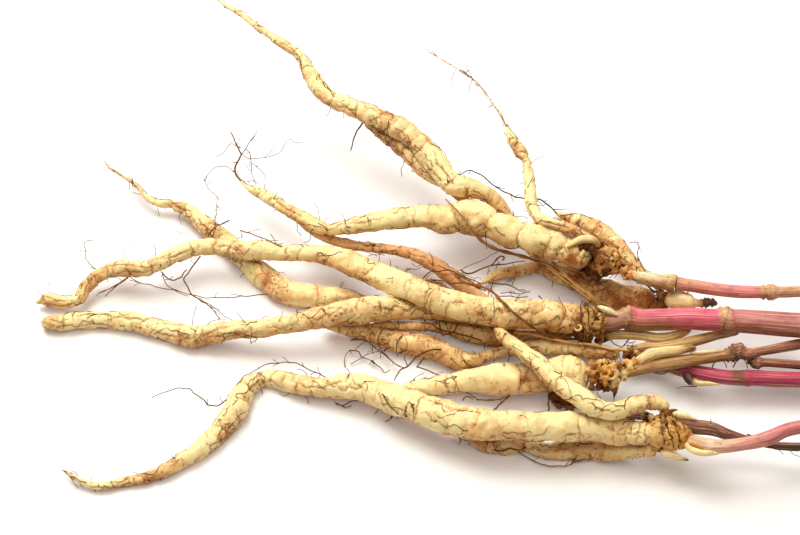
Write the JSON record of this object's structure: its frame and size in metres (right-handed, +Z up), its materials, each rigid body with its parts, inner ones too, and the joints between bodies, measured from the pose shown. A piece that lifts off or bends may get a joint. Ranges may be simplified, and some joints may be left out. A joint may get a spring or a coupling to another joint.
{
  "type": "skirret root",
  "caption": "Lifted skirret clump: pale knobbly storage roots spread from a branching rootstock that carries buds and cut stems, lying on its side.",
  "frame": {"origin": "under the middle of the clump's bounding box, on the surface that it lies on", "axes": "+X from the root tips towards the stems, +Y across the clump towards its upper roots, +Z up from the surface"},
  "size_m": [0.3034, 0.226, 0.0324],
  "materials": {
    "root_skin": "satin",
    "brown_root_skin": "satin",
    "crown_bark": "matte",
    "stem_pink": "satin",
    "stem_brown": "satin",
    "straw_stalk": "matte",
    "bud_cream": "satin",
    "rootlet": "matte"
  },
  "bodies": {
    "root": {"root_upper_long": "root_skin", "root_upper_strand": "root_skin", "root_fork": "root_skin", "root_club": "root_skin", "root_back": "root_skin", "root_tan": "brown_root_skin", "root_shaded": "root_skin", "root_left_diagonal": "root_skin", "root_left_long": "root_skin", "root_blunt": "root_skin", "root_lower_strand": "root_skin", "root_ribbed": "root_skin", "root_fat": "root_skin", "root_crossing": "root_skin", "root_bottom_long": "root_skin", "root_bottom_under": "root_skin", "root_brown_thin": "brown_root_skin", "stem_upper": "stem_pink", "stem_middle": "stem_pink", "stem_magenta": "stem_pink", "stem_lower_front": "stem_pink", "stem_brown": "stem_brown", "stem_brown_branch": "stem_brown", "stem_lower_back": "stem_brown", "stalk_pale": "straw_stalk", "stalk_straw": "straw_stalk", "stalk_under": "straw_stalk", "stem_right_shoot": "bud_cream", "bud_middle": "bud_cream", "bud_lower_back": "bud_cream", "bud_lower_front": "bud_cream", "cut_stub": "stem_brown", "sheath_right": "bud_cream", "sheath_lower": "bud_cream", "rootlet_upper": "rootlet", "rootlet_middle": "rootlet", "rootstock": "crown_bark"}
  },
  "joints": []
}
